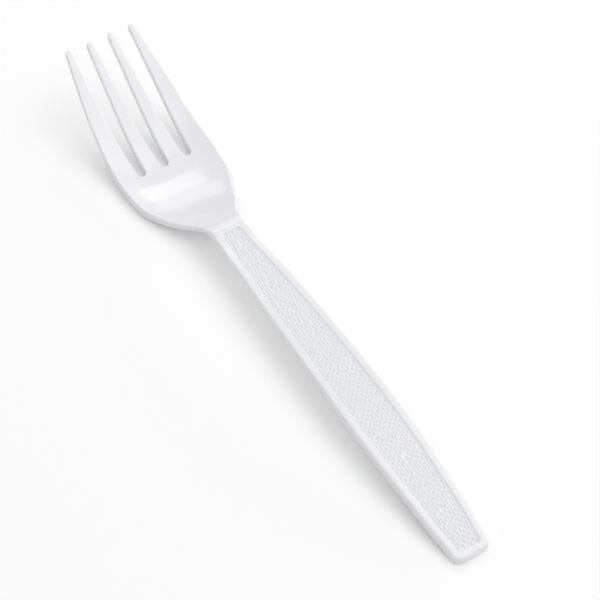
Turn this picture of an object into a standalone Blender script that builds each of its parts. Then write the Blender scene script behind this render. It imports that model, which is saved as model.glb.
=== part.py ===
"""Disposable plastic fork, moulded in one piece.

The fork lies right side up on z = 0, on the underside of its bowl and on the end of
its handle. +Y runs along its length towards the tines, +X is its right-hand side and
+Z is up. The origin is under the middle of its length.
"""
import math

import bmesh
import bpy
from mathutils import Vector

MM = 0.001

# Lengths along the fork
HANDLE_LENGTH = 113.4 * MM
BOWL_LENGTH = 31.8 * MM
TINE_LENGTH = 35.7 * MM
NECK_STEP_LENGTH = 2.2 * MM

# Widths
END_WIDTH = 10.9 * MM
GRIP_WIDTH = 15.0 * MM
NECK_WIDTH = 9.8 * MM
HEAD_WIDTH = 30.0 * MM

# Bends of the sides: share of a stretch's length, share of its change in width
SWELL_BEND = (0.3, 0.5)
TAPER_BEND = (0.4, 0.2)
FLARE_BENDS = ((0.15, 0.13), (0.34, 0.475), (0.73, 0.955))
TINE_BEND = (0.5, 0.3)

# Tines and slots
TIP_RADIUS = 1.0 * MM
TIP_PITCH = 6.74 * MM
SLOT_PITCH = 7.36 * MM
SLOT_WIDTH = 2.25 * MM

# Heights of the top surface above the table
CREST_HEIGHT = 9.1 * MM
END_HEIGHT = 2.15 * MM
LIP_RISE = 0.5 * MM
NECK_HEIGHT = 8.6 * MM
TIP_HEIGHT = 21.8 * MM
DISH_RISE = 1.5 * MM
UNDER_DISH = 0.4

# Thicknesses
END_THICKNESS = 2.6 * MM
GRIP_THICKNESS = 2.3 * MM
ARCH_THICKNESS = 1.8 * MM
NECK_THICKNESS = 2.5 * MM
BOWL_THICKNESS = 1.8 * MM
TIP_THICKNESS = 1.8 * MM
REST_CUT = 0.05 * MM

# Places along the fork where the surface turns
GRIP_PLACE = 43.0 * MM
CREST_PLACE = 88.0 * MM
CREST_POWER = 2.2
LIP_LENGTH = 8.0 * MM
WIDEST_PLACE = 31.0 * MM
LOW_LENGTH = 2.5 * MM
LOW_TO_SLOTS = 5.5 * MM
NECK_BLEND = 17.0 * MM
TINE_BLEND = 22.0 * MM

# Rounded edges
END_CORNER = 1.9 * MM
END_BOW = 0.35 * MM
END_ROUND = 0.9 * MM
NECK_ROUND = 0.5 * MM
BOWL_ROUND = 1.1 * MM
TINE_ROUND = 0.45 * MM
UNDER_ROUND = 0.45 * MM

# Recessed grip panel with staggered bumps
RIM_WIDTH = 2.35 * MM
PANEL_END_MARGIN = 2.2 * MM
PANEL_NECK_MARGIN = 1.6 * MM
PANEL_CORNER = 0.8 * MM
PANEL_DEPTH = 0.4 * MM
PANEL_DRAFT = 0.5 * MM
BUMP_HEIGHT = 0.22 * MM
BUMP_PITCH = 0.85 * MM
BUMP_LENGTH = 1.72 * MM

# Spacing of the mesh
HANDLE_STEP = 4.6 * MM
HEAD_STEP = 2.6 * MM
ARC_POINTS = 8
TOP_ARC_POINTS = 3
PLATE_HEIGHT = 10.0 * MM

ROOT_PLACE = HANDLE_LENGTH + BOWL_LENGTH
LENGTH = ROOT_PLACE + TINE_LENGTH
TIP_PLACE = LENGTH - TIP_RADIUS
SLOT_RADIUS = SLOT_WIDTH / 2
SIDE_START = END_BOW + END_CORNER
LOW_END = ROOT_PLACE - LOW_TO_SLOTS
LOW_START = LOW_END - LOW_LENGTH
NECK_FOOT = HANDLE_LENGTH + NECK_STEP_LENGTH


def smooth_through(knots, place):
    """Height of a smooth curve through the knots that never overshoots them."""
    if place <= knots[0][0]:
        return knots[0][1]
    if place >= knots[-1][0]:
        return knots[-1][1]
    gaps = [b[0] - a[0] for a, b in zip(knots, knots[1:])]
    slopes = [(b[1] - a[1]) / gap for a, b, gap in zip(knots, knots[1:], gaps)]
    tangents = [slopes[0]]
    for before, after in zip(slopes, slopes[1:]):
        same_way = before * after > 0
        tangents.append(2 * before * after / (before + after) if same_way else 0.0)
    tangents.append(slopes[-1])
    index = next(i for i in range(len(gaps)) if place <= knots[i + 1][0])
    share = (place - knots[index][0]) / gaps[index]
    start, end = knots[index][1], knots[index + 1][1]
    lead_in, lead_out = tangents[index] * gaps[index], tangents[index + 1] * gaps[index]
    cubic = share ** 3
    square = share ** 2
    return (start * (2 * cubic - 3 * square + 1) + end * (3 * square - 2 * cubic)
            + lead_in * (cubic - 2 * square + share) + lead_out * (cubic - square))


def ramp(distance, blend):
    """A slope of one that starts as a parabola of the given length."""
    if distance <= 0:
        return 0.0
    if distance < blend:
        return distance ** 2 / (2 * blend)
    return distance - blend / 2


def between(start, end, bend):
    """A knot between two others, at the bend's shares of the way from one to the other."""
    along, across = bend
    return (start[0] + along * (end[0] - start[0]), start[1] + across * (end[1] - start[1]))


def outer_half_width(y):
    """Half the width of the fork between its outer sides."""
    neck = (HANDLE_LENGTH, NECK_WIDTH / 2)
    if y < HANDLE_LENGTH:
        end = (SIDE_START, END_WIDTH / 2)
        grip = (GRIP_PLACE, GRIP_WIDTH / 2)
        knots = [end, between(end, grip, SWELL_BEND), grip, between(grip, neck, TAPER_BEND), neck]
        return smooth_through(knots, y)
    head = (HANDLE_LENGTH + WIDEST_PLACE, HEAD_WIDTH / 2)
    tip = (TIP_PLACE, 1.5 * TIP_PITCH + TIP_RADIUS)
    flare = [between(neck, head, bend) for bend in FLARE_BENDS]
    return smooth_through([neck] + flare + [head, between(head, tip, TINE_BEND), tip], y)


def slot_share(y):
    return (y - ROOT_PLACE - SLOT_RADIUS) / (TIP_PLACE - ROOT_PLACE - SLOT_RADIUS)


def slot_half_width(y):
    at_tips = TIP_PITCH / 2 - TIP_RADIUS
    return SLOT_RADIUS + (at_tips - SLOT_RADIUS) * slot_share(y)


def slot_middle(y):
    """Middle of the right-hand slot, which leans in towards the tips."""
    return SLOT_PITCH + (TIP_PITCH - SLOT_PITCH) * slot_share(y) ** 2


def handle_height(y):
    """Height of the arched handle's top, which turns up a little before the neck."""
    away = abs(CREST_PLACE - y) / CREST_PLACE
    lip = LIP_RISE * ramp(y - HANDLE_LENGTH + LIP_LENGTH, LIP_LENGTH) / (LIP_LENGTH / 2)
    return CREST_HEIGHT - (CREST_HEIGHT - END_HEIGHT) * away ** CREST_POWER + lip


def head_height(y):
    """Height of the head's middle line, down into the bowl and up along the tines."""
    neck_slope = (NECK_HEIGHT - BOWL_THICKNESS) / ramp(LOW_START - NECK_FOOT, NECK_BLEND)
    tine_slope = (TIP_HEIGHT - BOWL_THICKNESS) / ramp(LENGTH - LOW_END, TINE_BLEND)
    fall = neck_slope * ramp(LOW_START - y, NECK_BLEND)
    rise = tine_slope * ramp(y - LOW_END, TINE_BLEND)
    return BOWL_THICKNESS + fall + rise


def middle_height(y):
    """Height of the top surface along the fork's middle line."""
    if y <= HANDLE_LENGTH:
        return handle_height(y)
    if y >= NECK_FOOT:
        return head_height(y)
    share = (y - HANDLE_LENGTH) / NECK_STEP_LENGTH
    return handle_height(HANDLE_LENGTH) * (1 - share) + NECK_HEIGHT * share


def dish(x, y):
    """Rise of the head's top surface from its middle line towards its sides."""
    knots = [
        (NECK_FOOT, 0.0),
        ((NECK_FOOT + 2 * LOW_START) / 3, DISH_RISE),
        (LOW_END, DISH_RISE),
        ((ROOT_PLACE + TIP_PLACE) / 2, DISH_RISE / 2),
        (TIP_PLACE, 0.0),
    ]
    return smooth_through(knots, y) * (abs(x) / (HEAD_WIDTH / 2)) ** 3


def top_height(x, y):
    """Height of the top surface without its rounded edges."""
    return middle_height(y) + dish(x, y)


def under_height(x, y):
    """Height of the underside, flatter than the bowl and cut level where it rests."""
    arch_end = HANDLE_LENGTH - LIP_LENGTH
    knots = [
        (0.0, END_THICKNESS),
        (GRIP_PLACE, GRIP_THICKNESS),
        ((GRIP_PLACE + arch_end) / 2, ARCH_THICKNESS),
        (arch_end, ARCH_THICKNESS),
        (HANDLE_LENGTH, NECK_THICKNESS),
        (NECK_FOOT, BOWL_THICKNESS),
        (LOW_START, BOWL_THICKNESS + REST_CUT),
        (LOW_END, BOWL_THICKNESS + REST_CUT),
        (LENGTH, TIP_THICKNESS),
    ]
    height = middle_height(y) - smooth_through(knots, y) + UNDER_DISH * dish(x, y)
    return max(0.0, height)


def spread(start, end, step):
    """Even places from start to end, both included, about a step apart."""
    count = max(1, round((end - start) / step))
    return [start + (end - start) * i / count for i in range(count + 1)]


def arc(centre_x, centre_y, radius, start, end, count):
    turns = [math.radians(start + (end - start) * i / count) for i in range(count + 1)]
    return [(centre_x + radius * math.cos(t), centre_y + radius * math.sin(t)) for t in turns]


def handle_places():
    return spread(SIDE_START, HANDLE_LENGTH, HANDLE_STEP)


def bowl_places():
    return [HANDLE_LENGTH] + spread(NECK_FOOT, ROOT_PLACE + SLOT_RADIUS, HEAD_STEP)


def tine_places():
    return spread(ROOT_PLACE + SLOT_RADIUS, TIP_PLACE, HEAD_STEP)


def half_outline():
    """Right half of the outline, from the middle of the handle's end to the middle slot."""
    end = END_WIDTH / 2
    edge = [end * i / 4 for i in range(4)]
    points = [(x, END_BOW * (x / end) ** 2) for x in edge if x < end - END_CORNER]
    points += arc(end - END_CORNER, SIDE_START, END_CORNER, -75, 0, ARC_POINTS - 2)
    sides = handle_places()[1:] + bowl_places()[1:] + tine_places()[1:-1]
    points += [(outer_half_width(y), y) for y in sides]
    points += arc(1.5 * TIP_PITCH, TIP_PLACE, TIP_RADIUS, 0, 180, ARC_POINTS)
    walls = tine_places()[1:-1]
    points += [(slot_middle(y) + slot_half_width(y), y) for y in reversed(walls)]
    points += arc(SLOT_PITCH, ROOT_PLACE + SLOT_RADIUS, SLOT_RADIUS, 0, -180, ARC_POINTS)
    points += [(slot_middle(y) - slot_half_width(y), y) for y in walls]
    points += arc(0.5 * TIP_PITCH, TIP_PLACE, TIP_RADIUS, 0, 180, ARC_POINTS)
    points += [(slot_half_width(y), y) for y in reversed(walls)]
    points += arc(0, ROOT_PLACE + SLOT_RADIUS, SLOT_RADIUS, 0, -90, ARC_POINTS // 2)
    return points


def whole_outline(half):
    """Both halves as one loop, anticlockwise from above."""
    mirrored = [(-x, y) for x, y in reversed(half[1:-1])]
    return half + mirrored


def inset_points(points, distance_at):
    """The loop moved inwards by a distance that may change along the fork."""
    moved = []
    for i, (x, y) in enumerate(points):
        before, after = Vector(points[i - 1]), Vector(points[(i + 1) % len(points)])
        here = Vector((x, y))
        way_in = ((here - before).normalized() + (after - here).normalized()).normalized()
        inward = Vector((-way_in.y, way_in.x))
        moved.append(here + inward * distance_at(y))
    return moved


def top_round(y):
    """Radius of the rounded top edge, small at the neck and broad round the bowl."""
    knots = [
        (0.0, END_ROUND),
        (HANDLE_LENGTH, NECK_ROUND),
        (HANDLE_LENGTH + BOWL_LENGTH / 2, BOWL_ROUND),
        (ROOT_PLACE, min(TINE_ROUND, 0.6 * TIP_RADIUS)),
    ]
    return smooth_through(knots, y)


def add_loop(mesh, points, height_at):
    return [mesh.verts.new((p[0], p[1], height_at(p[1]))) for p in points]


def join_loops(mesh, lower, upper):
    for i in range(len(lower)):
        following = (i + 1) % len(lower)
        mesh.faces.new((lower[i], lower[following], upper[following], upper[i]))


def add_sides(mesh, outline):
    """Side walls with their rounded edges. Returns the lowest and the highest loop."""
    loops = []
    for i in range(3):
        turn = math.pi / 4 * i
        inward, rise = 1 - math.sin(turn), 1 - math.cos(turn)
        ring = inset_points(outline, lambda y: UNDER_ROUND * inward)
        loops.append(add_loop(mesh, ring, lambda y: UNDER_ROUND * rise - PLATE_HEIGHT))
    for i in range(TOP_ARC_POINTS + 1):
        turn = math.pi / 2 * i / TOP_ARC_POINTS
        inward, drop = 1 - math.cos(turn), 1 - math.sin(turn)
        ring = inset_points(outline, lambda y: top_round(y) * inward)
        loops.append(add_loop(mesh, ring, lambda y: -top_round(y) * drop))
    for lower, upper in zip(loops, loops[1:]):
        join_loops(mesh, lower, upper)
    return loops[0], loops[-1]


def panel_outline():
    """Outline of the recess, a rim's width inside the handle's sides."""
    start, end = PANEL_END_MARGIN, HANDLE_LENGTH - PANEL_NECK_MARGIN
    first, last = start + PANEL_CORNER, end - PANEL_CORNER
    inner = [y for y in handle_places() if first < y < last]

    def half_width(y):
        return outer_half_width(max(y, SIDE_START)) - RIM_WIDTH

    half = [(0.0, start)]
    half += arc(half_width(first) - PANEL_CORNER, first, PANEL_CORNER, -90, 0, 3)
    half += [(half_width(y), y) for y in inner]
    half += arc(half_width(last) - PANEL_CORNER, last, PANEL_CORNER, 0, 90, 3)
    half.append((0.0, end))
    return whole_outline(half)


def edges_of(loop):
    """Edges between each vertex of the loop and the next one."""
    edges = []
    for a, b in zip(loop, loop[1:] + loop[:1]):
        edges.append(next(edge for edge in a.link_edges if edge.other_vert(a) is b))
    return edges


def cut_faces(mesh, faces, point, normal):
    """Cuts the faces along a plane and returns all of their pieces."""
    linked = set(faces)
    for face in faces:
        linked.update(face.edges)
        linked.update(face.verts)
    cut = bmesh.ops.bisect_plane(mesh, geom=list(linked), dist=1e-6, plane_co=point, plane_no=normal)
    return [item for item in cut["geom"] if isinstance(item, bmesh.types.BMFace)]


def cut_across(mesh, faces, places):
    for y in places:
        faces = cut_faces(mesh, faces, (0, y, 0), (0, 1, 0))
    return faces


def cut_along(mesh, faces, places):
    for x in places:
        faces = cut_faces(mesh, faces, (x, 0, 0), (1, 0, 0))
    return faces


def cut_head(mesh, faces):
    """Cuts the head's share of the faces finely enough for its dished shape."""
    faces = cut_across(mesh, faces, bowl_places() + tine_places()[1:-1])
    head = [face for face in faces if face.calc_center_median().y > HANDLE_LENGTH]
    lines = [HEAD_WIDTH / 2 * share for share in (-0.75, -0.5, -0.25, 0.0, 0.25, 0.5, 0.75)]
    cut_along(mesh, head, lines)


def close_underside(mesh, loop):
    face = mesh.faces.new(list(reversed(loop)))
    faces = cut_across(mesh, [face], handle_places()[:-1])
    cut_head(mesh, faces)


def close_top(mesh, outer, inner):
    """Fills the top between the outer edge and the edge of the recess."""
    filled = bmesh.ops.triangle_fill(mesh, use_beauty=True, edges=edges_of(outer) + edges_of(inner))
    faces = [item for item in filled["geom"] if isinstance(item, bmesh.types.BMFace)]
    for face in faces:
        face.normal_update()
        if face.normal.z < 0:
            face.normal_flip()
    cut_head(mesh, faces)


def add_panel(mesh):
    """Recess with a floor of staggered bumps. Returns the loop of its upper edge."""
    outline = panel_outline()
    upper = add_loop(mesh, outline, lambda y: 0.0)
    floor_points = inset_points(outline, lambda y: PANEL_DRAFT)
    lower = add_loop(mesh, floor_points, lambda y: -PANEL_DEPTH)
    join_loops(mesh, lower[::-1], upper[::-1])
    add_bumps(mesh, mesh.faces.new(lower), set(edges_of(lower)))
    return upper


def add_bumps(mesh, floor, border):
    """Cuts the floor into a chequered grid and raises every other crossing."""
    columns = math.floor(GRIP_WIDTH / 2 / BUMP_PITCH)
    rows = math.floor(HANDLE_LENGTH / (BUMP_LENGTH / 2))
    faces = cut_along(mesh, [floor], [BUMP_PITCH * i for i in range(-columns, columns + 1)])
    faces = cut_across(mesh, faces, [BUMP_LENGTH / 2 * j for j in range(1, rows + 1)])
    floor_faces = set(faces)
    inside = set()
    for face in faces:
        for vert in face.verts:
            if all(other in floor_faces for other in vert.link_faces):
                inside.add(vert)
    peaks = set()
    for vert in inside:
        if (round(vert.co.x / BUMP_PITCH) + round(vert.co.y / (BUMP_LENGTH / 2))) % 2 == 0:
            peaks.add(vert)
    for face in faces:
        valleys = [vert for vert in face.verts if vert not in peaks]
        if len(face.verts) == 4 and len(valleys) == 2:
            bmesh.utils.face_split(face, valleys[0], valleys[1])
    for vert in peaks:
        vert.co.z += BUMP_HEIGHT


def bend(mesh):
    """Moves the flat plate on to the fork's top surface and its underside."""
    for vert in mesh.verts:
        x, y, z = vert.co
        if z > -PLATE_HEIGHT / 2:
            vert.co.z = top_height(x, y) + z
        else:
            vert.co.z = under_height(x, y) + z + PLATE_HEIGHT
        vert.co.y = y - LENGTH / 2


def plastic():
    material = bpy.data.materials.new("white_plastic")
    material.use_nodes = True
    shader = material.node_tree.nodes["Principled BSDF"]
    shader.inputs["Base Color"].default_value = (0.88, 0.88, 0.89, 1)
    shader.inputs["Roughness"].default_value = 0.3
    shader.inputs["Metallic"].default_value = 0.0
    return material


def make_fork():
    mesh = bmesh.new()
    under, top = add_sides(mesh, whole_outline(half_outline()))
    close_underside(mesh, under)
    close_top(mesh, top, add_panel(mesh))
    bmesh.ops.triangulate(mesh, faces=[face for face in mesh.faces if len(face.verts) > 3])
    bend(mesh)
    bmesh.ops.recalc_face_normals(mesh, faces=mesh.faces)
    data = bpy.data.meshes.new("fork")
    mesh.to_mesh(data)
    mesh.free()
    data.shade_smooth()
    data.set_sharp_from_angle(angle=math.radians(35))
    fork = bpy.data.objects.new("fork", data)
    bpy.context.collection.objects.link(fork)
    data.materials.append(plastic())
    return fork


for thing in list(bpy.data.objects):
    bpy.data.objects.remove(thing)
make_fork()
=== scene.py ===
"""Looks of the disposable plastic fork: its fine moulded shape, its plastic, floor and light.

Sizes are in metres. The fork lies along +Y with its tines at the far end, and the
functions below measure y from the end of the handle.
"""
import math
import random

import bmesh
import bpy
from mathutils import Matrix, Vector, noise


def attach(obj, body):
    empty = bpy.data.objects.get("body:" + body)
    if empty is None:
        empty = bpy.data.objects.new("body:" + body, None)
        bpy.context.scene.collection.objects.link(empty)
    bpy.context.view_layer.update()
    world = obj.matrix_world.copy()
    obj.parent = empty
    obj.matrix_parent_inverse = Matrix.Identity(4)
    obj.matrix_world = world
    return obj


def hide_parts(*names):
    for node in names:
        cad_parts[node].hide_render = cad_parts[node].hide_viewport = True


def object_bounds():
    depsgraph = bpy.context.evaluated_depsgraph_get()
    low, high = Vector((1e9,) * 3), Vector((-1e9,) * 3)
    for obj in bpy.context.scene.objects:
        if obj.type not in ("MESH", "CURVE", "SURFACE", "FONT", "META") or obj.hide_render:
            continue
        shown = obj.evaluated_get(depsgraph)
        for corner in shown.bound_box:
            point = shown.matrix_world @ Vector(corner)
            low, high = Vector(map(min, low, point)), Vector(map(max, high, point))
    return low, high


MM = 0.001

# Lengths along the fork
HANDLE_LENGTH = 113.4 * MM
BOWL_LENGTH = 31.8 * MM
TINE_LENGTH = 35.7 * MM
NECK_STEP_LENGTH = 2.2 * MM

# Widths
END_WIDTH = 10.9 * MM
GRIP_WIDTH = 15.0 * MM
NECK_WIDTH = 9.8 * MM
HEAD_WIDTH = 30.0 * MM

# Bends of the sides: share of a stretch's length, share of its change in width
SWELL_BEND = (0.3, 0.5)
TAPER_BEND = (0.4, 0.2)
FLARE_BENDS = ((0.15, 0.13), (0.34, 0.475), (0.73, 0.955))
TINE_BEND = (0.5, 0.3)

# Tines and slots
TIP_RADIUS = 1.0 * MM
TIP_PITCH = 6.74 * MM
SLOT_PITCH = 7.36 * MM
SLOT_WIDTH = 2.25 * MM

# Heights of the top surface above the table
CREST_HEIGHT = 9.1 * MM
END_HEIGHT = 2.15 * MM
LIP_RISE = 0.5 * MM
NECK_HEIGHT = 8.6 * MM
TIP_HEIGHT = 21.8 * MM
DISH_RISE = 1.5 * MM
UNDER_DISH = 0.4

# Thicknesses
END_THICKNESS = 2.6 * MM
GRIP_THICKNESS = 2.3 * MM
ARCH_THICKNESS = 1.8 * MM
NECK_THICKNESS = 2.5 * MM
BOWL_THICKNESS = 1.8 * MM
TIP_THICKNESS = 1.8 * MM
REST_CUT = 0.05 * MM

# Places along the fork where the surface turns
GRIP_PLACE = 43.0 * MM
CREST_PLACE = 88.0 * MM
CREST_POWER = 2.2
LIP_LENGTH = 8.0 * MM
WIDEST_PLACE = 31.0 * MM
LOW_LENGTH = 2.5 * MM
LOW_TO_SLOTS = 5.5 * MM
NECK_BLEND = 17.0 * MM
TINE_BLEND = 22.0 * MM
STEP_ROUND = 0.25 * MM
STEP_SAMPLES = 12

# Rounded edges
END_CORNER = 1.9 * MM
END_CORNER_TURN = 75
END_BOW = 0.35 * MM
END_ROUND = 0.9 * MM
NECK_ROUND = 0.5 * MM
BOWL_ROUND = 1.1 * MM
TINE_ROUND = 0.6 * MM
TIP_ROUND_SHARE = 0.6
UNDER_ROUND = 0.45 * MM

# Recessed grip panel, with a lip that starts outside its outline and ends inside it
RIM_WIDTH = 2.35 * MM
PANEL_END_MARGIN = 2.2 * MM
PANEL_NECK_MARGIN = 1.6 * MM
PANEL_CORNER = 0.8 * MM
PANEL_DEPTH = 0.4 * MM
LIP_OUT = 0.55 * MM
LIP_IN = 0.1 * MM
LIP_POWER = 2.0

# Bumps on the floor of the panel
BUMP_HEIGHT = 0.28 * MM
BUMP_PITCH = 0.85 * MM
BUMP_LENGTH = 1.72 * MM
BUMP_HALF_WIDTH = 0.40 * MM
BUMP_HALF_LENGTH = 0.76 * MM
BUMP_POWER = 0.7

# Rows of bumps: starts, steps and gaps as shares of a bump's pitch or length
BUMP_ROWS = 14
BUMP_INSET = 0.48
FIRST_BUMP = 0.35
LAST_BUMP = 0.3
ROW_STAGGER = 0.5
SIDE_STAGGER = 0.3
CLOSEST_ACROSS = 0.62
CLOSEST_ALONG = 0.42
GRIP_LOOSENESS = 0.05
NECK_LOOSENESS = 0.13

# Wandering seam where the rows of both sides meet
SEAM_REACH = 1.1
SEAM_WAVE = 9.0 * MM
SEAM_OVERLAP = 0.12

# Change of the bumps near the neck: where it starts and ends, then shares of their size
STRETCH_START = 62.0 * MM
STRETCH_END = 80.0 * MM
SIDE_STRETCH = 0.25
NECK_LONGER = 0.35
NECK_NARROWER = 0.08
NECK_LOWER = 0.05
NECK_LEAN = 0.13

# Differences between single bumps, and patches where they are longer
LENGTH_SPREAD = 0.08
WIDTH_SPREAD = 0.05
HEIGHT_SPREAD = 0.12
LEAN_SPREAD = 0.05
PATCH_WIDTH = 2.6 * MM
PATCH_LENGTH = 5.0 * MM
PATCH_LEVEL = 0.36
PATCH_LONGER = 0.5

# Seeds of the chances, and places in the noise that the seam and the patches follow
PLACE_SEED = 7
SHAPE_SEED = 11
SEAM_NOISE = (0.3, 4.0)
PATCH_NOISE = 9.0

# Spacing of the mesh
HANDLE_STEP = 1.0 * MM
HEAD_STEP = 0.65 * MM
HEAD_CUT_LEAD = 2 * MM
NECK_STEP_CUTS = 8
END_POINTS = 12
ARC_POINTS = 16
UNDER_ARC_POINTS = 5
TOP_ARC_POINTS = 9
LIP_POINTS = 9
PANEL_CORNER_ROWS = 6
PANEL_STEP = 0.2 * MM
PANEL_COLUMNS = 76
PLATE_HEIGHT = 10.0 * MM
CUT_DISTANCE = 1e-6
WELD_DISTANCE = 0.002 * MM

ROOT_PLACE = HANDLE_LENGTH + BOWL_LENGTH
LENGTH = ROOT_PLACE + TINE_LENGTH
TIP_PLACE = LENGTH - TIP_RADIUS
SLOT_RADIUS = SLOT_WIDTH / 2
SIDE_START = END_BOW + END_CORNER
LOW_END = ROOT_PLACE - LOW_TO_SLOTS
LOW_START = LOW_END - LOW_LENGTH
NECK_FOOT = HANDLE_LENGTH + NECK_STEP_LENGTH
PANEL_START = PANEL_END_MARGIN
PANEL_END = HANDLE_LENGTH - PANEL_NECK_MARGIN

# Camera, at the photograph's viewing angle
CAMERA_PLACE = (-0.182883, -0.256692, 0.42983)
CAMERA_AZIMUTH = -36.757
CAMERA_ELEVATION = 53.566
CAMERA_ROLL = 4.0
CAMERA_LENS = 120.0

# Colours, floor and light
PLASTIC_DARK = (0.868, 0.867, 0.884)
PLASTIC_LIGHT = (0.905, 0.904, 0.920)
FLOOR_COLOUR = (0.93, 0.93, 0.93)
FLOOR_HALF = 6.0
FLOOR_LIFT = 0.115
WORLD_STRENGTH = 0.46


def smooth_through(knots, place):
    """Height of a smooth curve through the knots that never overshoots them."""
    if place <= knots[0][0]:
        return knots[0][1]
    if place >= knots[-1][0]:
        return knots[-1][1]
    gaps = [b[0] - a[0] for a, b in zip(knots, knots[1:])]
    slopes = [(b[1] - a[1]) / gap for a, b, gap in zip(knots, knots[1:], gaps)]
    tangents = [slopes[0]]
    for before, after in zip(slopes, slopes[1:]):
        same_way = before * after > 0
        tangents.append(2 * before * after / (before + after) if same_way else 0.0)
    tangents.append(slopes[-1])
    index = next(i for i in range(len(gaps)) if place <= knots[i + 1][0])
    share = (place - knots[index][0]) / gaps[index]
    start, end = knots[index][1], knots[index + 1][1]
    lead_in, lead_out = tangents[index] * gaps[index], tangents[index + 1] * gaps[index]
    cubic = share ** 3
    square = share ** 2
    return (start * (2 * cubic - 3 * square + 1) + end * (3 * square - 2 * cubic)
            + lead_in * (cubic - 2 * square + share) + lead_out * (cubic - square))


def ramp(distance, blend):
    """A slope of one that starts as a parabola of the given length."""
    if distance <= 0:
        return 0.0
    if distance < blend:
        return distance ** 2 / (2 * blend)
    return distance - blend / 2


def between(start, end, bend):
    """A knot between two others, at the bend's shares of the way from one to the other."""
    along, across = bend
    return (start[0] + along * (end[0] - start[0]), start[1] + across * (end[1] - start[1]))


def outer_half_width(y):
    """Half the width of the fork between its outer sides."""
    neck = (HANDLE_LENGTH, NECK_WIDTH / 2)
    if y < HANDLE_LENGTH:
        end = (SIDE_START, END_WIDTH / 2)
        grip = (GRIP_PLACE, GRIP_WIDTH / 2)
        knots = [end, between(end, grip, SWELL_BEND), grip, between(grip, neck, TAPER_BEND), neck]
        return smooth_through(knots, y)
    head = (HANDLE_LENGTH + WIDEST_PLACE, HEAD_WIDTH / 2)
    tip = (TIP_PLACE, 1.5 * TIP_PITCH + TIP_RADIUS)
    flare = [between(neck, head, bend) for bend in FLARE_BENDS]
    return smooth_through([neck] + flare + [head, between(head, tip, TINE_BEND), tip], y)


def slot_share(y):
    return (y - ROOT_PLACE - SLOT_RADIUS) / (TIP_PLACE - ROOT_PLACE - SLOT_RADIUS)


def slot_half_width(y):
    at_tips = TIP_PITCH / 2 - TIP_RADIUS
    return SLOT_RADIUS + (at_tips - SLOT_RADIUS) * slot_share(y)


def slot_middle(y):
    """Middle of the right-hand slot, which leans in towards the tips."""
    return SLOT_PITCH + (TIP_PITCH - SLOT_PITCH) * slot_share(y) ** 2


def handle_height(y):
    """Height of the arched handle's top, which turns up a little before the neck."""
    away = abs(CREST_PLACE - y) / CREST_PLACE
    lip = LIP_RISE * ramp(y - HANDLE_LENGTH + LIP_LENGTH, LIP_LENGTH) / (LIP_LENGTH / 2)
    return CREST_HEIGHT - (CREST_HEIGHT - END_HEIGHT) * away ** CREST_POWER + lip


def head_height(y):
    """Height of the head's middle line, down into the bowl and up along the tines."""
    neck_slope = (NECK_HEIGHT - BOWL_THICKNESS) / ramp(LOW_START - NECK_FOOT, NECK_BLEND)
    tine_slope = (TIP_HEIGHT - BOWL_THICKNESS) / ramp(LENGTH - LOW_END, TINE_BLEND)
    fall = neck_slope * ramp(LOW_START - y, NECK_BLEND)
    rise = tine_slope * ramp(y - LOW_END, TINE_BLEND)
    return BOWL_THICKNESS + fall + rise


def crisp_middle_height(y):
    """Height of the top surface along the middle line, with a sharp step at the neck."""
    if y <= HANDLE_LENGTH:
        return handle_height(y)
    if y >= NECK_FOOT:
        return head_height(y)
    share = (y - HANDLE_LENGTH) / NECK_STEP_LENGTH
    return handle_height(HANDLE_LENGTH) * (1 - share) + NECK_HEIGHT * share


def middle_height(y):
    """Height of the top surface along the middle line, with the neck's step rounded."""
    if not HANDLE_LENGTH - STEP_ROUND < y < NECK_FOOT + STEP_ROUND:
        return crisp_middle_height(y)
    offsets = [STEP_ROUND * (2 * (i + 0.5) / STEP_SAMPLES - 1) for i in range(STEP_SAMPLES)]
    return sum(crisp_middle_height(y + offset) for offset in offsets) / STEP_SAMPLES


def dish(x, y):
    """Rise of the head's top surface from its middle line towards its sides."""
    knots = [
        (NECK_FOOT, 0.0),
        ((NECK_FOOT + 2 * LOW_START) / 3, DISH_RISE),
        (LOW_END, DISH_RISE),
        ((ROOT_PLACE + TIP_PLACE) / 2, DISH_RISE / 2),
        (TIP_PLACE, 0.0),
    ]
    return smooth_through(knots, y) * (abs(x) / (HEAD_WIDTH / 2)) ** 3


def top_height(x, y):
    """Height of the top surface without its rounded edges."""
    return middle_height(y) + dish(x, y)


def under_height(x, y):
    """Height of the underside, flatter than the bowl and cut level where it rests."""
    arch_end = HANDLE_LENGTH - LIP_LENGTH
    knots = [
        (0.0, END_THICKNESS),
        (GRIP_PLACE, GRIP_THICKNESS),
        ((GRIP_PLACE + arch_end) / 2, ARCH_THICKNESS),
        (arch_end, ARCH_THICKNESS),
        (HANDLE_LENGTH, NECK_THICKNESS),
        (NECK_FOOT, BOWL_THICKNESS),
        (LOW_START, BOWL_THICKNESS + REST_CUT),
        (LOW_END, BOWL_THICKNESS + REST_CUT),
        (LENGTH, TIP_THICKNESS),
    ]
    height = middle_height(y) - smooth_through(knots, y) + UNDER_DISH * dish(x, y)
    return max(0.0, height)


def spread(start, end, step):
    """Even places from start to end, both included, about a step apart."""
    count = max(1, round((end - start) / step))
    return [start + (end - start) * i / count for i in range(count + 1)]


def arc(centre_x, centre_y, radius, start, end, count):
    turns = [math.radians(start + (end - start) * i / count) for i in range(count + 1)]
    return [(centre_x + radius * math.cos(t), centre_y + radius * math.sin(t)) for t in turns]


def handle_places():
    return spread(SIDE_START, HANDLE_LENGTH, HANDLE_STEP)


def bowl_places():
    neck = spread(HANDLE_LENGTH, NECK_FOOT, NECK_STEP_LENGTH / NECK_STEP_CUTS)
    return neck[:-1] + spread(NECK_FOOT, ROOT_PLACE + SLOT_RADIUS, HEAD_STEP)


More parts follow.
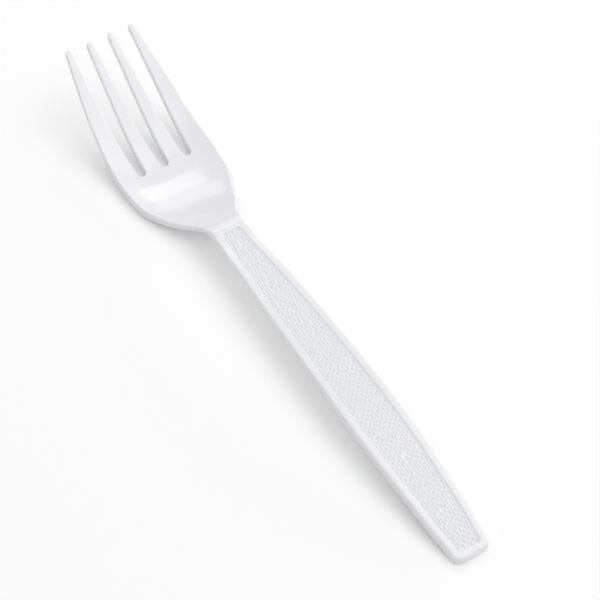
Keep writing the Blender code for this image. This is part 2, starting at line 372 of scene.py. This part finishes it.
def tine_places():
    return spread(ROOT_PLACE + SLOT_RADIUS, TIP_PLACE, HEAD_STEP)


def half_outline():
    """Right half of the outline, from the middle of the handle's end to the middle slot."""
    end = END_WIDTH / 2
    edge = [end * i / END_POINTS for i in range(END_POINTS)]
    points = [(x, END_BOW * (x / end) ** 2) for x in edge if x < end - END_CORNER]
    points += arc(end - END_CORNER, SIDE_START, END_CORNER, -END_CORNER_TURN, 0, ARC_POINTS)
    sides = handle_places()[1:] + bowl_places()[1:] + tine_places()[1:-1]
    points += [(outer_half_width(y), y) for y in sides]
    points += arc(1.5 * TIP_PITCH, TIP_PLACE, TIP_RADIUS, 0, 180, ARC_POINTS)
    walls = tine_places()[1:-1]
    points += [(slot_middle(y) + slot_half_width(y), y) for y in reversed(walls)]
    points += arc(SLOT_PITCH, ROOT_PLACE + SLOT_RADIUS, SLOT_RADIUS, 0, -180, ARC_POINTS)
    points += [(slot_middle(y) - slot_half_width(y), y) for y in walls]
    points += arc(0.5 * TIP_PITCH, TIP_PLACE, TIP_RADIUS, 0, 180, ARC_POINTS)
    points += [(slot_half_width(y), y) for y in reversed(walls)]
    points += arc(0, ROOT_PLACE + SLOT_RADIUS, SLOT_RADIUS, 0, -90, ARC_POINTS // 2)
    return points


def whole_outline(half):
    """Both halves as one loop, anticlockwise from above."""
    mirrored = [(-x, y) for x, y in reversed(half[1:-1])]
    return half + mirrored


def inset_points(points, distance_at):
    """The loop moved inwards by a distance that may change along the fork."""
    moved = []
    for i, (x, y) in enumerate(points):
        before, after = Vector(points[i - 1]), Vector(points[(i + 1) % len(points)])
        here = Vector((x, y))
        way_in = ((here - before).normalized() + (after - here).normalized()).normalized()
        inward = Vector((-way_in.y, way_in.x))
        moved.append(here + inward * distance_at(y))
    return moved


def top_round(y):
    """Radius of the rounded top edge, small at the neck and broad round the bowl."""
    knots = [
        (0.0, END_ROUND),
        (HANDLE_LENGTH, NECK_ROUND),
        (HANDLE_LENGTH + BOWL_LENGTH / 2, BOWL_ROUND),
        (ROOT_PLACE, min(TINE_ROUND, TIP_ROUND_SHARE * TIP_RADIUS)),
    ]
    return smooth_through(knots, y)


def add_loop(mesh, points, height_at):
    return [mesh.verts.new((p[0], p[1], height_at(p[1]))) for p in points]


def join_loops(mesh, lower, upper):
    for i in range(len(lower)):
        following = (i + 1) % len(lower)
        mesh.faces.new((lower[i], lower[following], upper[following], upper[i]))


def add_sides(mesh, outline):
    """Side walls with their rounded edges. Returns the lowest and the highest loop."""
    loops = []
    for i in range(UNDER_ARC_POINTS + 1):
        turn = math.pi / 2 * i / UNDER_ARC_POINTS
        inward, rise = 1 - math.sin(turn), 1 - math.cos(turn)
        ring = inset_points(outline, lambda y: UNDER_ROUND * inward)
        loops.append(add_loop(mesh, ring, lambda y: UNDER_ROUND * rise - PLATE_HEIGHT))
    for i in range(TOP_ARC_POINTS + 1):
        turn = math.pi / 2 * i / TOP_ARC_POINTS
        inward, drop = 1 - math.cos(turn), 1 - math.sin(turn)
        ring = inset_points(outline, lambda y: top_round(y) * inward)
        loops.append(add_loop(mesh, ring, lambda y: -top_round(y) * drop))
    for lower, upper in zip(loops, loops[1:]):
        join_loops(mesh, lower, upper)
    return loops[0], loops[-1]


def panel_half_width(y):
    """Half the width of the panel's outline, with its rounded corners."""
    first, last = PANEL_START + PANEL_CORNER, PANEL_END - PANEL_CORNER
    nearest = min(max(y, first), last)
    into_corner = min(1.0, abs(y - nearest) / PANEL_CORNER)
    lost = PANEL_CORNER * (1 - math.sqrt(1 - into_corner ** 2))
    return outer_half_width(max(nearest, SIDE_START)) - RIM_WIDTH - lost


def panel_rows():
    """Places of the panel's mesh rows, closer together round its corners."""
    first, last = PANEL_START + PANEL_CORNER, PANEL_END - PANEL_CORNER
    turns = [math.pi / 2 * i / PANEL_CORNER_ROWS for i in range(PANEL_CORNER_ROWS)]
    corner = [PANEL_CORNER * math.cos(turn) for turn in turns]
    middle = spread(first, last, PANEL_STEP)
    return [first - c for c in corner] + middle + [last + c for c in reversed(corner)]


def panel_grid(inset):
    """Points inside the panel's outline as rows from the handle's end to the neck."""
    middle = (PANEL_START + PANEL_END) / 2
    shrink = 1 - inset / (PANEL_END - middle)
    shares = [2 * i / PANEL_COLUMNS - 1 for i in range(PANEL_COLUMNS + 1)]
    grid = []
    for y in panel_rows():
        half = panel_half_width(y) - inset
        grid.append([(half * share, middle + (y - middle) * shrink) for share in shares])
    return grid


def border_of(grid):
    """The grid's outer points as one loop, anticlockwise from above."""
    right = [row[-1] for row in grid[1:]]
    far = list(reversed(grid[-1][:-1]))
    left = [row[0] for row in reversed(grid[:-1])]
    return grid[0] + right + far + left[:-1]


def edges_of(loop):
    """Edges between each vertex of the loop and the next one."""
    edges = []
    for a, b in zip(loop, loop[1:] + loop[:1]):
        edges.append(next(edge for edge in a.link_edges if edge.other_vert(a) is b))
    return edges


def cut_faces(mesh, faces, point, normal):
    """Cuts the faces along a plane and returns all of their pieces."""
    linked = set(faces)
    for face in faces:
        linked.update(face.edges)
        linked.update(face.verts)
    cut = bmesh.ops.bisect_plane(mesh, geom=list(linked), dist=CUT_DISTANCE,
                                 plane_co=point, plane_no=normal)
    return [item for item in cut["geom"] if isinstance(item, bmesh.types.BMFace)]


def cut_in_turn(mesh, faces, places, axis):
    """Cuts the faces at each place along the axis, lowest first. Returns all the pieces."""
    normal = [0, 0, 0]
    normal[axis] = 1
    done = []
    for place in places:
        point = [0, 0, 0]
        point[axis] = place
        pieces = cut_faces(mesh, faces, point, normal)
        faces = [f for f in pieces if f.calc_center_median()[axis] > place]
        done += [f for f in pieces if f.calc_center_median()[axis] <= place]
    return done + faces


def cut_skin(mesh, faces):
    """Cuts a flat skin finely enough for its bent shape, and finest on the head."""
    places = handle_places()[:-1] + bowl_places() + tine_places()[1:-1]
    faces = cut_in_turn(mesh, faces, places, 1)
    head_start = HANDLE_LENGTH - HEAD_CUT_LEAD
    head = [face for face in faces if face.calc_center_median().y > head_start]
    cut_in_turn(mesh, head, spread(-HEAD_WIDTH / 2, HEAD_WIDTH / 2, HEAD_STEP), 0)


def close_underside(mesh, loop):
    face = mesh.faces.new(list(reversed(loop)))
    cut_skin(mesh, [face])


def close_top(mesh, outer, inner):
    """Fills the top between the outer edge and the edge of the recess."""
    filled = bmesh.ops.triangle_fill(mesh, use_beauty=True, edges=edges_of(outer) + edges_of(inner))
    faces = [item for item in filled["geom"] if isinstance(item, bmesh.types.BMFace)]
    for face in faces:
        face.normal_update()
        if face.normal.z < 0:
            face.normal_flip()
    cut_skin(mesh, faces)


def neck_share(y):
    """Nought on the grip and one near the neck, where the bumps run together."""
    return min(1.0, max(0.0, (y - STRETCH_START) / (STRETCH_END - STRETCH_START)))


def row_places(side, row):
    """Places along one row of bumps, where every other row is half a bump further on."""
    y = PANEL_START + BUMP_LENGTH * (FIRST_BUMP + ROW_STAGGER * (row % 2))
    if side < 0:
        y += SIDE_STAGGER * BUMP_LENGTH
    while y < PANEL_END - LAST_BUMP * BUMP_LENGTH:
        yield y
        y += BUMP_LENGTH


def seam_place(y):
    """Where the rows of both sides meet, to the right or left of the middle line."""
    across, above = SEAM_NOISE
    return SEAM_REACH * BUMP_PITCH * noise.noise(Vector((across, y / SEAM_WAVE, above)))


def too_close(place, other):
    across, along = abs(other[0] - place[0]), abs(other[1] - place[1])
    return across < CLOSEST_ACROSS * BUMP_PITCH and along < CLOSEST_ALONG * BUMP_LENGTH


def bump_centres():
    """Places of the bumps, in rows that follow both sides and meet near the middle."""
    chance = random.Random(PLACE_SEED)
    centres = []
    for side in (1, -1):
        for row in range(BUMP_ROWS):
            for y in row_places(side, row):
                x = panel_half_width(y) - (row + BUMP_INSET) * BUMP_PITCH
                if x <= side * seam_place(y) - SEAM_OVERLAP * BUMP_PITCH:
                    continue
                loose = GRIP_LOOSENESS + NECK_LOOSENESS * neck_share(y) * min(1, row)
                place = (side * x + loose * BUMP_PITCH * chance.uniform(-1, 1),
                         y + loose * BUMP_LENGTH * chance.uniform(-1, 1))
                if not any(too_close(place, other) for other in centres):
                    centres.append(place)
    return centres


def bump_shape(x, y, chance):
    """Half width, half length, height and lean of a bump, longer towards the neck."""
    stretch = neck_share(y)
    if abs(x) >= panel_half_width(y) - BUMP_PITCH:
        stretch *= SIDE_STRETCH
    patch = noise.noise(Vector((x / PATCH_WIDTH, y / PATCH_LENGTH, PATCH_NOISE)))
    extra = PATCH_LONGER if patch > PATCH_LEVEL else 0.0
    long = 1 + NECK_LONGER * stretch + extra + LENGTH_SPREAD * chance.uniform(-1, 1)
    narrow = 1 - NECK_NARROWER * stretch + WIDTH_SPREAD * chance.uniform(-1, 1)
    tall = 1 - NECK_LOWER * stretch + HEIGHT_SPREAD * chance.uniform(-1, 1)
    lean = (LEAN_SPREAD + NECK_LEAN * stretch) * chance.uniform(-1, 1)
    return BUMP_HALF_WIDTH * narrow, BUMP_HALF_LENGTH * long, BUMP_HEIGHT * tall, lean


def bump_heights(grid):
    """Rise of the panel's floor at each point of the grid."""
    chance = random.Random(SHAPE_SEED)
    rows = [row[0][1] for row in grid]
    halves = [row[-1][0] for row in grid]
    heights = [[0.0] * (PANEL_COLUMNS + 1) for _ in grid]
    for x, y in bump_centres():
        wide, long, tall, lean = bump_shape(x, y, chance)
        half_here = min(zip(rows, halves), key=lambda pair: abs(pair[0] - y))[1]
        for j, place in enumerate(rows):
            along = (place - y) / long
            if abs(along) >= 1 or j in (0, len(rows) - 1):
                continue
            half = halves[j]
            reach = wide * math.sqrt(1 - along ** 2)
            drift = (half - half_here) * min(1, abs(x) / half)
            follow = x + math.copysign(drift, x) + lean * (place - y)
            first = math.ceil(((follow - reach) / half + 1) / 2 * PANEL_COLUMNS)
            last = math.floor(((follow + reach) / half + 1) / 2 * PANEL_COLUMNS)
            for i in range(max(1, first), min(PANEL_COLUMNS - 1, last) + 1):
                across = (grid[j][i][0] - follow) / wide
                rise = tall * max(0.0, 1 - along ** 2 - across ** 2) ** BUMP_POWER
                heights[j][i] = max(heights[j][i], rise)
    return heights


def add_panel(mesh):
    """Recess with a rounded lip and a bumpy floor. Returns the loop of its upper edge."""
    outline = border_of(panel_grid(0.0))
    loops = []
    for i in range(LIP_POINTS):
        share = i / LIP_POINTS
        inward = -LIP_OUT + (LIP_OUT + LIP_IN) * share
        drop = PANEL_DEPTH * share ** LIP_POWER
        loops.append(add_loop(mesh, inset_points(outline, lambda y: inward), lambda y: -drop))
    grid = panel_grid(LIP_IN)
    floor = []
    for row, rises in zip(grid, bump_heights(grid)):
        floor.append([mesh.verts.new((x, y, rise - PANEL_DEPTH)) for (x, y), rise in zip(row, rises)])
    loops.append(border_of(floor))
    for upper, lower in zip(loops, loops[1:]):
        join_loops(mesh, lower[::-1], upper[::-1])
    for near, far in zip(floor, floor[1:]):
        for i in range(PANEL_COLUMNS):
            mesh.faces.new((near[i], near[i + 1], far[i + 1], far[i]))
    return loops[0]


def bend(mesh):
    """Moves the flat plate on to the fork's top surface and its underside."""
    for vert in mesh.verts:
        x, y, z = vert.co
        if z > -PLATE_HEIGHT / 2:
            vert.co.z = top_height(x, y) + z
        else:
            vert.co.z = under_height(x, y) + z + PLATE_HEIGHT
        vert.co.y = y - LENGTH / 2


def make_fork():
    mesh = bmesh.new()
    under, top = add_sides(mesh, whole_outline(half_outline()))
    close_underside(mesh, under)
    close_top(mesh, top, add_panel(mesh))
    bmesh.ops.triangulate(mesh, faces=[face for face in mesh.faces if len(face.verts) > 4])
    bmesh.ops.remove_doubles(mesh, verts=mesh.verts, dist=WELD_DISTANCE)
    bmesh.ops.dissolve_degenerate(mesh, edges=mesh.edges, dist=WELD_DISTANCE)
    bend(mesh)
    bmesh.ops.recalc_face_normals(mesh, faces=mesh.faces)
    data = bpy.data.meshes.new("fork_body")
    mesh.to_mesh(data)
    mesh.free()
    data.shade_smooth()
    fork = bpy.data.objects.new("fork_body", data)
    bpy.context.collection.objects.link(fork)
    return fork


def fit_inside(thing, low, high):
    """Scales the thing by a hair where it stands out of the box."""
    points = [vert.co for vert in thing.data.vertices]
    for axis in range(3):
        least = min(point[axis] for point in points)
        most = max(point[axis] for point in points)
        share = min(1.0, (high[axis] - low[axis]) / (most - least))
        start = max(least, low[axis])
        for point in points:
            point[axis] = start + (point[axis] - least) * share


def add_node(tree, kind, **inputs):
    node = tree.nodes.new(kind)
    for name, value in inputs.items():
        node.inputs[name.replace("_", " ")].default_value = value
    return node


def blend_colours(tree, factor, dark, light):
    """A colour between the dark and the light one, following the factor."""
    mix = tree.nodes.new("ShaderNodeMix")
    mix.data_type = "RGBA"
    # Sockets 6 and 7 of a mix node take its colours, and socket 2 gives their mix
    mix.inputs[6].default_value = (*dark, 1)
    mix.inputs[7].default_value = (*light, 1)
    tree.links.new(factor, mix.inputs[0])
    return mix.outputs[2]


def white_plastic():
    """Glossy white polystyrene with faint unevenness from the mould."""
    material = bpy.data.materials.new("white_plastic")
    material.use_nodes = True
    tree = material.node_tree
    shader = tree.nodes["Principled BSDF"]
    shader.inputs["Metallic"].default_value = 0.0
    shader.inputs["IOR"].default_value = 1.56
    shader.inputs["Subsurface Weight"].default_value = 0.12
    shader.inputs["Subsurface Radius"].default_value = (1.0, 1.0, 1.0)
    shader.inputs["Subsurface Scale"].default_value = 0.0012
    place = tree.nodes.new("ShaderNodeTexCoord")
    broad = add_node(tree, "ShaderNodeTexNoise", Scale=55.0, Detail=3.0, Roughness=0.5)
    fine = add_node(tree, "ShaderNodeTexNoise", Scale=900.0, Detail=2.0, Roughness=0.5)
    for texture in (broad, fine):
        tree.links.new(place.outputs["Object"], texture.inputs["Vector"])
    colour = blend_colours(tree, broad.outputs["Fac"], PLASTIC_DARK, PLASTIC_LIGHT)
    tree.links.new(colour, shader.inputs["Base Color"])
    rough = add_node(tree, "ShaderNodeMapRange", From_Min=0.3, From_Max=0.7, To_Min=0.11, To_Max=0.17)
    tree.links.new(broad.outputs["Fac"], rough.inputs["Value"])
    tree.links.new(rough.outputs["Result"], shader.inputs["Roughness"])
    bump = add_node(tree, "ShaderNodeBump", Strength=0.06, Distance=0.00006)
    tree.links.new(fine.outputs["Fac"], bump.inputs["Height"])
    tree.links.new(bump.outputs["Normal"], shader.inputs["Normal"])
    return material


def floor_material():
    """Pale floor that the camera and reflections see as white away from the shadow."""
    material = bpy.data.materials.new("pale_floor")
    material.use_nodes = True
    tree = material.node_tree
    shader = tree.nodes["Principled BSDF"]
    shader.inputs["Base Color"].default_value = (*FLOOR_COLOUR, 1)
    shader.inputs["Roughness"].default_value = 0.9
    shader.inputs["Specular IOR Level"].default_value = 0.0
    rays = tree.nodes.new("ShaderNodeLightPath")
    seen = rays.outputs["Is Camera Ray"]
    for kind in ("Is Glossy Ray", "Is Transmission Ray"):
        either = tree.nodes.new("ShaderNodeMath")
        either.use_clamp = True
        tree.links.new(seen, either.inputs[0])
        tree.links.new(rays.outputs[kind], either.inputs[1])
        seen = either.outputs[0]
    lift = tree.nodes.new("ShaderNodeMath")
    lift.operation = "MULTIPLY"
    lift.inputs[1].default_value = FLOOR_LIFT
    tree.links.new(seen, lift.inputs[0])
    shader.inputs["Emission Color"].default_value = (1, 1, 1, 1)
    tree.links.new(lift.outputs[0], shader.inputs["Emission Strength"])
    return material


def add_floor():
    mesh = bmesh.new()
    corners = ((-1, -1), (1, -1), (1, 1), (-1, 1))
    mesh.faces.new([mesh.verts.new((x * FLOOR_HALF, y * FLOOR_HALF, 0)) for x, y in corners])
    data = bpy.data.meshes.new("floor")
    mesh.to_mesh(data)
    mesh.free()
    data.materials.append(floor_material())
    floor = bpy.data.objects.new("floor", data)
    bpy.context.collection.objects.link(floor)


def add_lamp(name, place, size, power, along=(0, 0, 0)):
    """Rectangular softbox that faces the fork, level unless its long side has a direction."""
    data = bpy.data.lights.new(name, "AREA")
    data.shape = "RECTANGLE"
    data.size, data.size_y = size
    data.energy = power
    lamp = bpy.data.objects.new(name, data)
    back = Vector(place).normalized()
    side = Vector(along) if any(along) else Vector((0, 0, 1)).cross(back)
    side = (side - back * side.dot(back)).normalized()
    turn = Matrix((side, back.cross(side), back)).transposed()
    lamp.matrix_world = Matrix.Translation(place) @ turn.to_4x4()
    bpy.context.collection.objects.link(lamp)


def add_world():
    world = bpy.data.worlds.new("studio")
    bpy.context.scene.world = world
    world.use_nodes = True
    tree = world.node_tree
    ground = tree.nodes["Background"]
    ground.inputs["Color"].default_value = (1, 1, 1, 1)
    ground.inputs["Strength"].default_value = WORLD_STRENGTH


def add_camera():
    data = bpy.data.cameras.new("camera")
    data.lens = CAMERA_LENS
    data.sensor_width = 36.0
    data.clip_start, data.clip_end = 0.01, 50.0
    camera = bpy.data.objects.new("camera", data)
    azimuth, elevation = math.radians(CAMERA_AZIMUTH), math.radians(CAMERA_ELEVATION)
    roll = math.radians(CAMERA_ROLL)
    level_right = Vector((math.cos(azimuth), math.sin(azimuth), 0))
    ahead = Vector((-math.sin(azimuth), math.cos(azimuth), 0))
    level_up = ahead * math.sin(elevation) + Vector((0, 0, math.cos(elevation)))
    look = ahead * math.cos(elevation) - Vector((0, 0, math.sin(elevation)))
    right = level_right * math.cos(roll) + level_up * math.sin(roll)
    up = level_up * math.cos(roll) - level_right * math.sin(roll)
    turn = Matrix((right, up, -look)).transposed()
    camera.matrix_world = Matrix.Translation(CAMERA_PLACE) @ turn.to_4x4()
    bpy.context.collection.objects.link(camera)
    bpy.context.scene.camera = camera


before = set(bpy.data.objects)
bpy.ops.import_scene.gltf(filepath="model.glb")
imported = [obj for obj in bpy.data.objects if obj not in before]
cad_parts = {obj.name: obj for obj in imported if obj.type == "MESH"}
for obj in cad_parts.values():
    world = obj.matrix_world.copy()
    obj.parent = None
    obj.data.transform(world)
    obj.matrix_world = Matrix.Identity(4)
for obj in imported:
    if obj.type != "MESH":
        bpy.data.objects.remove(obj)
cad_low, cad_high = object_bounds()

fork_body = make_fork()
fit_inside(fork_body, cad_low, cad_high)
fork_body.data.materials.append(white_plastic())
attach(fork_body, "root")
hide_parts("fork")

add_floor()
add_world()
add_lamp("key", (0.85, -0.5, 1.5), (1.8, 1.5), 8.5)
add_lamp("key_glow", (0.44, -0.63, 1.65), (3.0, 2.0), 3.5)
add_lamp("sky_card", (0.1, 0.5, 1.7), (3.4, 3.0), 10.5)
add_lamp("strip", (0.479, 0.716, 0.85), (0.41, 0.165), 0.65, (-0.366, 0.108, 0.148))
add_lamp("strip_glow", (0.406, 0.912, 0.666), (0.38, 0.34), 0.6)
add_lamp("side_card", (1.13, -0.2, 0.18), (1.0, 0.26), 2.0)
add_lamp("left_card", (-1.15, -0.15, 0.13), (1.2, 0.2), 0.4)
add_camera()
bpy.context.scene.view_settings.view_transform = "Standard"
